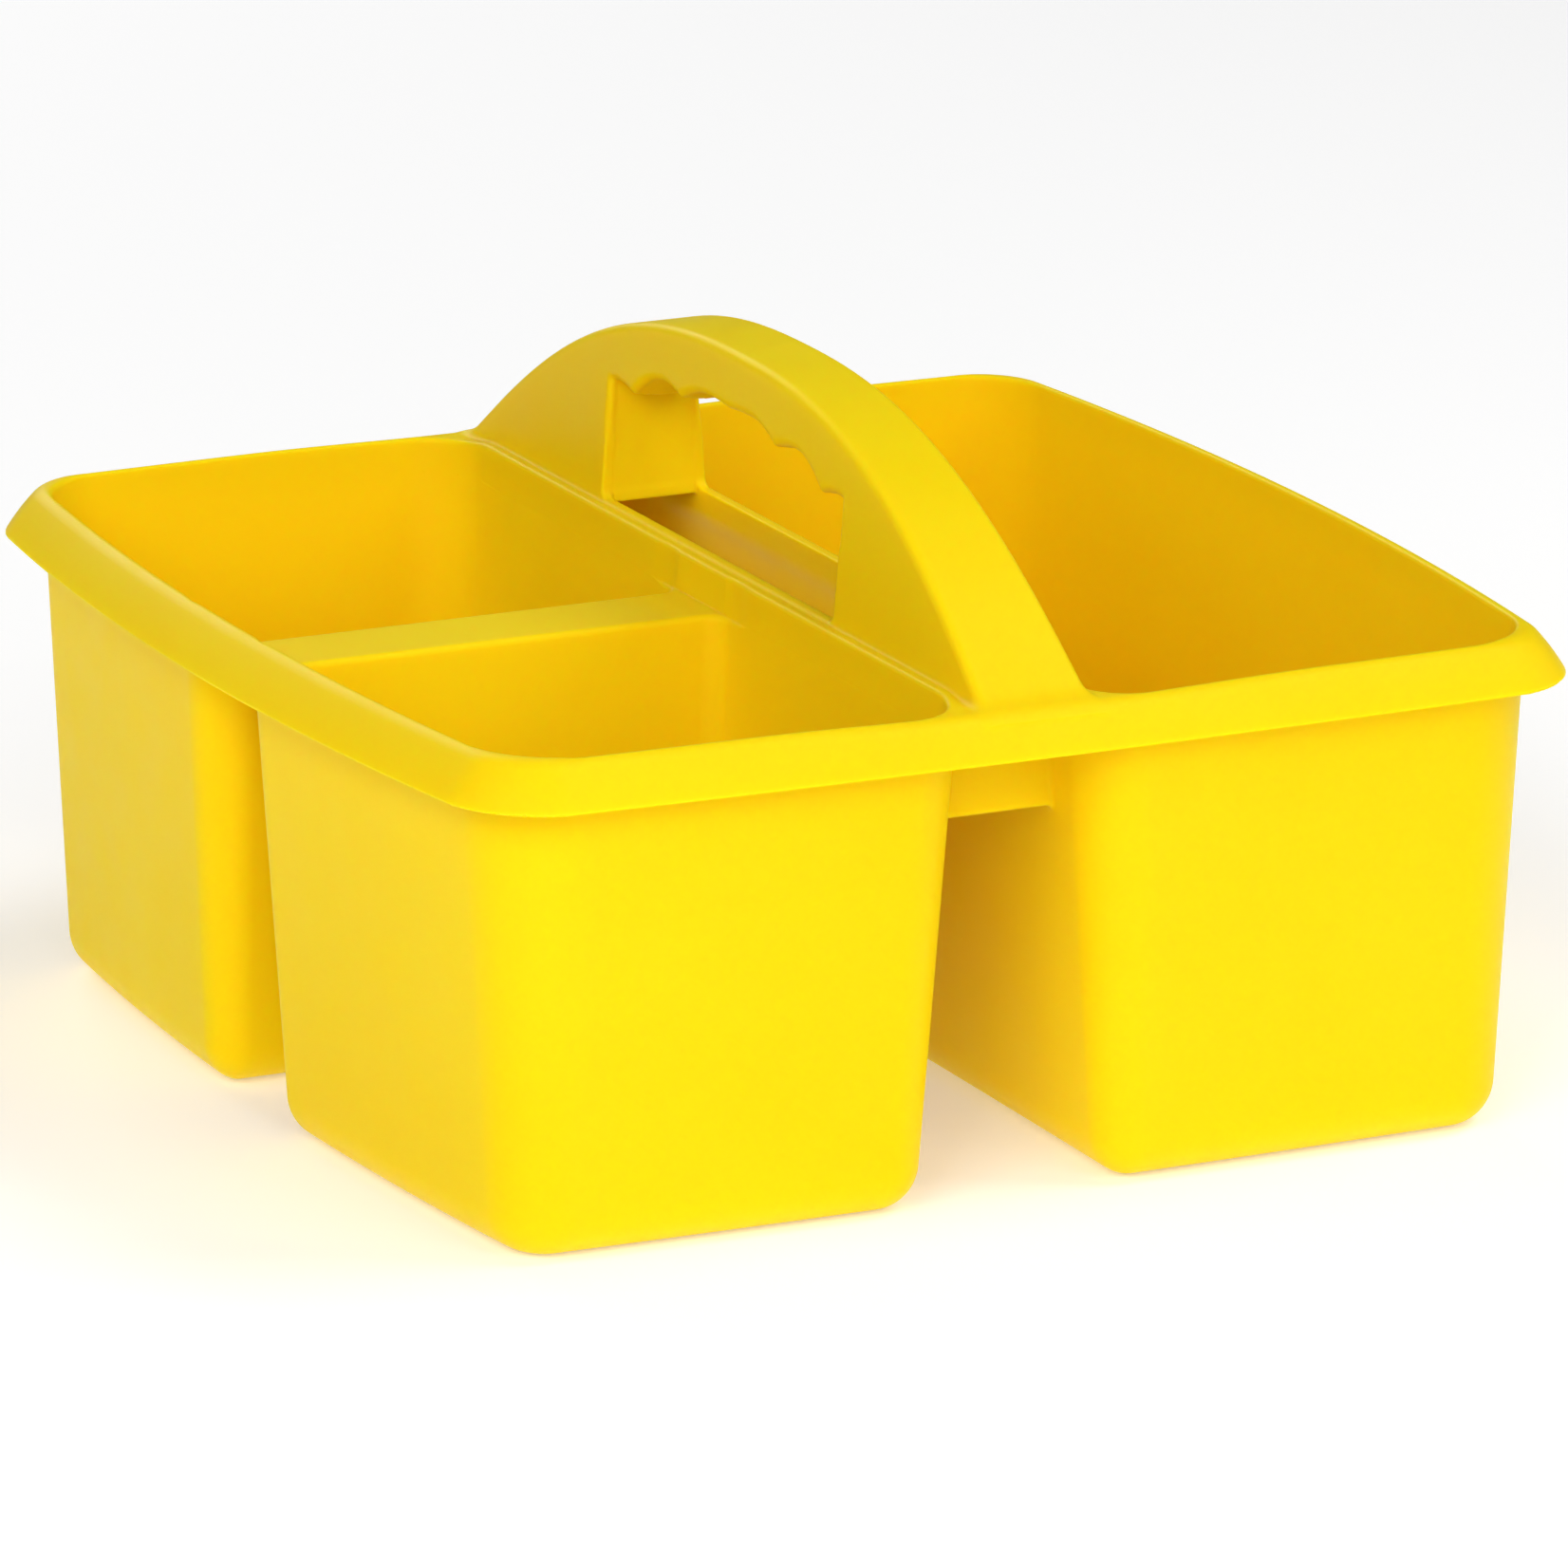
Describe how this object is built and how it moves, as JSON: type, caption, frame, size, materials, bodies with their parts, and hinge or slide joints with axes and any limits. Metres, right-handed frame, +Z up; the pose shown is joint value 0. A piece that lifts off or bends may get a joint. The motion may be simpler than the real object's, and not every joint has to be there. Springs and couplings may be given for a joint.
{
  "type": "cleaning caddy",
  "caption": "Open moulded carry caddy with one long bin, two short bins, a flared rim and an arched centre handle with a finger opening.",
  "frame": {"origin": "middle of the footprint, on the plane the bins stand on", "axes": "+Z up; Y along the handle with -Y at the front; X across the handle, short bins at -X and long bin at +X"},
  "size_m": [0.2348, 0.235, 0.1333],
  "materials": {
    "yellow_polypropylene": "satin, fine moulded texture"
  },
  "bodies": {
    "root": {"large_bin": "yellow_polypropylene", "front_small_bin": "yellow_polypropylene", "rear_small_bin": "yellow_polypropylene", "bin_divider": "yellow_polypropylene", "small_side_rim": "yellow_polypropylene", "large_side_rim": "yellow_polypropylene", "front_bridge": "yellow_polypropylene", "rear_bridge": "yellow_polypropylene", "handle_small_side": "yellow_polypropylene", "handle_large_side": "yellow_polypropylene", "handle_strap": "yellow_polypropylene", "grip_roof": "yellow_polypropylene", "grip_front_wall": "yellow_polypropylene", "grip_rear_wall": "yellow_polypropylene"}
  },
  "joints": []
}
